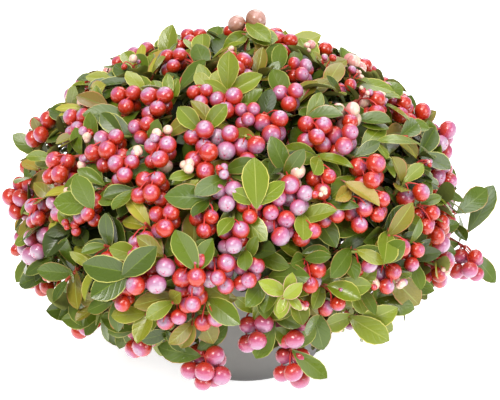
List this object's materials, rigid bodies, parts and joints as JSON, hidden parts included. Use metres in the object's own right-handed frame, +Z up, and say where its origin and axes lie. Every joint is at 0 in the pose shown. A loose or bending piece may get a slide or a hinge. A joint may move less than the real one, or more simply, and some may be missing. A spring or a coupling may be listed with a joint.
{
  "type": "potted wintergreen plant",
  "caption": "Low round evergreen shrub full of leaves and berries, with short limbs on one stem, in a plain tapered pot of soil.",
  "frame": {"origin": "centre of the pot's flat underside", "axes": "+Z up, the pot's axis; -Y towards the viewer of the picture; +X to the viewer's right"},
  "size_m": [0.3125, 0.2707, 0.2212],
  "materials": {
    "pot": "smooth matt mid grey moulded plastic",
    "soil": "dark crumbly potting mix",
    "bark": "thin red-brown bark",
    "leaf": "glossy leaves with pink to red berries"
  },
  "bodies": {
    "root": {"pot": "pot", "soil": "soil", "stem": "bark", "hem_limb_1": "bark", "hem_limb_2": "bark", "hem_limb_3": "bark", "hem_limb_4": "bark", "hem_limb_5": "bark", "hem_limb_6": "bark", "hem_limb_7": "bark", "hem_limb_8": "bark", "hem_limb_9": "bark", "shoulder_limb_1": "bark", "shoulder_limb_2": "bark", "shoulder_limb_3": "bark", "shoulder_limb_4": "bark", "shoulder_limb_5": "bark", "shoulder_limb_6": "bark", "shoulder_limb_7": "bark", "top_limb": "bark", "hem_foliage_1": "leaf", "hem_foliage_2": "leaf", "hem_foliage_3": "leaf", "hem_foliage_4": "leaf", "hem_foliage_5": "leaf", "hem_foliage_6": "leaf", "hem_foliage_7": "leaf", "hem_foliage_8": "leaf", "hem_foliage_9": "leaf", "shoulder_foliage_1": "leaf", "shoulder_foliage_2": "leaf", "shoulder_foliage_3": "leaf", "shoulder_foliage_4": "leaf", "shoulder_foliage_5": "leaf", "shoulder_foliage_6": "leaf", "shoulder_foliage_7": "leaf", "top_foliage": "leaf"}
  },
  "joints": []
}
